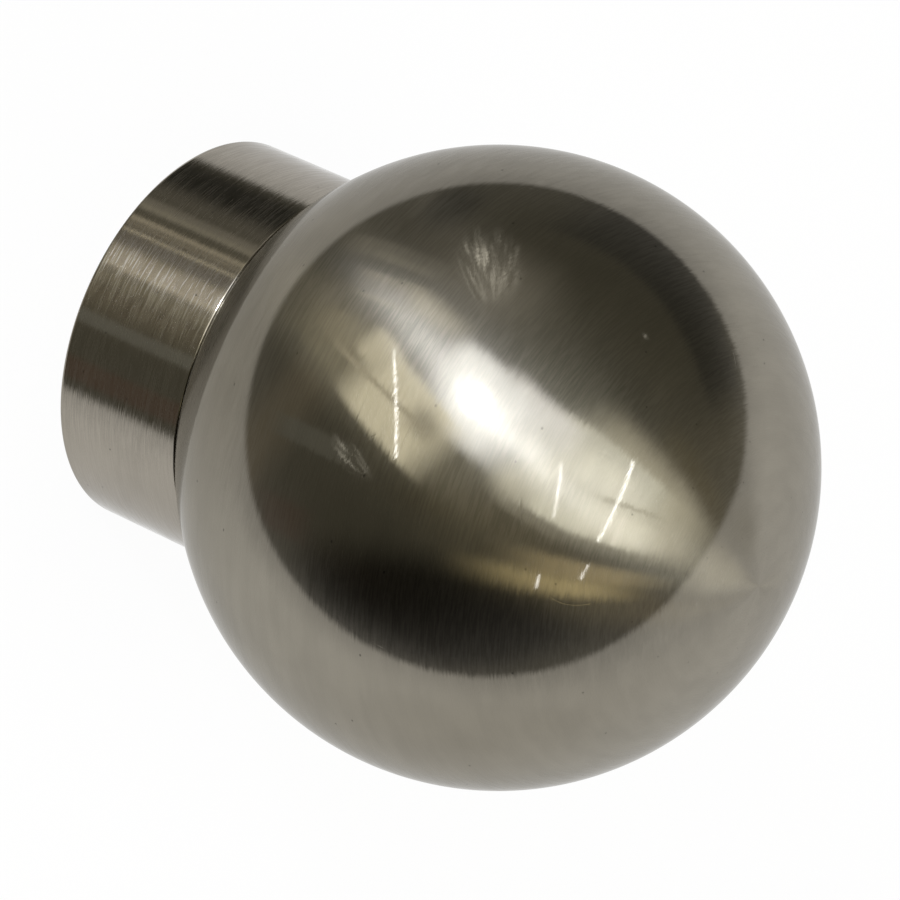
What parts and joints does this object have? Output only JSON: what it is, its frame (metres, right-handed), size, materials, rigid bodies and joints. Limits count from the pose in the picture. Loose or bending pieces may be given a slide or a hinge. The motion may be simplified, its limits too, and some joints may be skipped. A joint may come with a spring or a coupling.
{
  "type": "curtain pole finial",
  "caption": "Ball-end finial in brushed metal: a hollow ball on a short turned collar that slides over the end of a curtain pole and is held by a grub screw.",
  "frame": {"origin": "centre of the collar's open end face, on which the finial can stand", "axes": "+Z along the finial's axis from the collar's end to the nose of the ball; the grub screw is on the +Y side"},
  "size_m": [0.05, 0.05, 0.0562],
  "materials": {
    "ball": "spun and brushed round the axis, warm satin nickel",
    "collar": "turned and brushed round the axis, warm satin nickel",
    "screw": "plain machined steel, slightly dark"
  },
  "bodies": {
    "root": {"ball": "ball", "collar": "collar", "grub_screw": "screw"}
  },
  "joints": []
}
